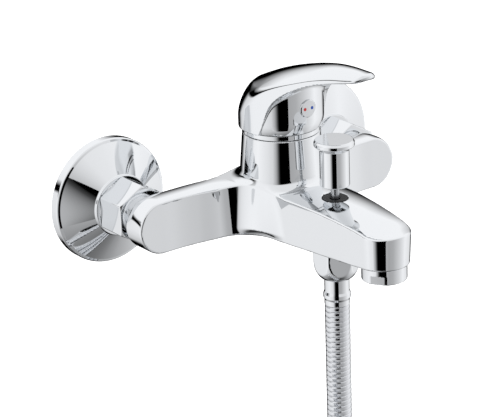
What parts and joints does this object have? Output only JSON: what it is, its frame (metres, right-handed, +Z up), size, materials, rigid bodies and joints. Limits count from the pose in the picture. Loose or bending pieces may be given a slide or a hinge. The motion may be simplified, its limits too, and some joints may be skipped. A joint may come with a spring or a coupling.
{
  "type": "wall mounted bath faucet",
  "caption": "Wall mounted single-lever bath faucet with bar body, cast spout, lift-knob diverter, aerator and a flexible metal shower hose hanging from its underside.",
  "frame": {"origin": "Midway between the axes of the faucet's two wall connections, in the plane of the finished wall", "axes": "+X to the user's right along the body bar, +Y into the wall, +Z up; the spout and lever point to -Y"},
  "size_m": [0.2582, 0.1844, 0.3557],
  "materials": {
    "chrome": "mirror-polished chrome plate over brass",
    "brass": "machined brass",
    "steel": "drawn stainless steel",
    "hose_steel": "spiral-wound polished metal strip",
    "ceramic": "lapped white alumina ceramic",
    "cartridge_plastic": "moulded light grey plastic",
    "black_plastic": "moulded black plastic",
    "cap_plastic": "satin silver-grey plastic cap",
    "mark_red": "red filling",
    "mark_blue": "blue filling",
    "seal_rubber": "black moulded rubber",
    "fibre": "grey fibre washer",
    "tie_plastic": "thin white polyethylene band"
  },
  "bodies": {
    "mixer": {"s_union_left": "chrome", "s_union_right": "chrome", "escutcheon_left": "chrome", "escutcheon_right": "chrome", "union_nut_left": "chrome", "union_nut_right": "chrome", "union_seal_left": "fibre", "union_seal_right": "fibre", "body_casting": "chrome", "cartridge_seals": "seal_rubber", "cartridge_base": "cartridge_plastic", "fixed_ceramic_disc": "ceramic", "cartridge_housing": "cartridge_plastic", "cartridge_ring_nut": "brass", "cover_dome": "chrome", "cover_seal": "seal_rubber", "diverter_guide": "black_plastic", "diverter_spring": "steel", "shower_outlet": "chrome", "check_valve_cage": "cartridge_plastic", "check_valve_spring": "steel", "hose_nut": "chrome", "hose_washer": "seal_rubber", "hose_ferrule": "chrome", "hose_tube": "hose_steel", "hose_coil": "hose_steel", "hose_tie": "tie_plastic", "hose_end_nut": "chrome", "hose_end_washer": "seal_rubber", "aerator_housing": "chrome", "aerator_insert": "black_plastic", "aerator_washer": "seal_rubber"},
    "spindle": {"spindle_sleeve": "cartridge_plastic", "pivot_pin": "steel"},
    "lever": {"lever": "chrome", "lever_stem": "brass", "grub_screw": "steel", "index_cap": "cap_plastic", "index_mark_red": "mark_red", "index_mark_blue": "mark_blue"},
    "disc": {"moving_ceramic_disc": "ceramic", "disc_carrier": "cartridge_plastic"},
    "diverter": {"diverter_knob": "chrome", "diverter_stem": "steel", "diverter_piston": "brass", "piston_seal": "seal_rubber"},
    "check_poppet": {"check_valve_poppet": "black_plastic"}
  },
  "joints": [
    {"name": "temperature_swivel", "type": "hinge", "parent": "mixer", "child": "spindle", "pos_m": [0, -0.066, 0.03], "axis": [0, 0, 1], "range_deg": [-50, 50]},
    {"name": "flow_tilt", "type": "hinge", "parent": "spindle", "child": "lever", "pos_m": [0, -0.066, 0.03], "axis": [-1, 0, 0], "range_deg": [0, 22]},
    {"name": "disc_slide", "type": "slide", "parent": "spindle", "child": "disc", "axis": [0, -1, 0], "range_m": [0, 0.0036]},
    {"name": "diverter_lift", "type": "slide", "parent": "mixer", "child": "diverter", "axis": [0, 0, 1], "range_m": [0, 0.006], "stiffness_N_per_m": 400, "springref_m": -0.004, "deforming": ["diverter_spring"]},
    {"name": "check_valve_slide", "type": "slide", "parent": "mixer", "child": "check_poppet", "axis": [0, 0, -1], "range_m": [0, 0.0022], "stiffness_N_per_m": 80, "springref_m": -0.001, "deforming": ["check_valve_spring"]}
  ],
  "couplings": [
    {"joint": "disc_slide", "follows": "flow_tilt", "m_per_rad": 0.0091}
  ]
}
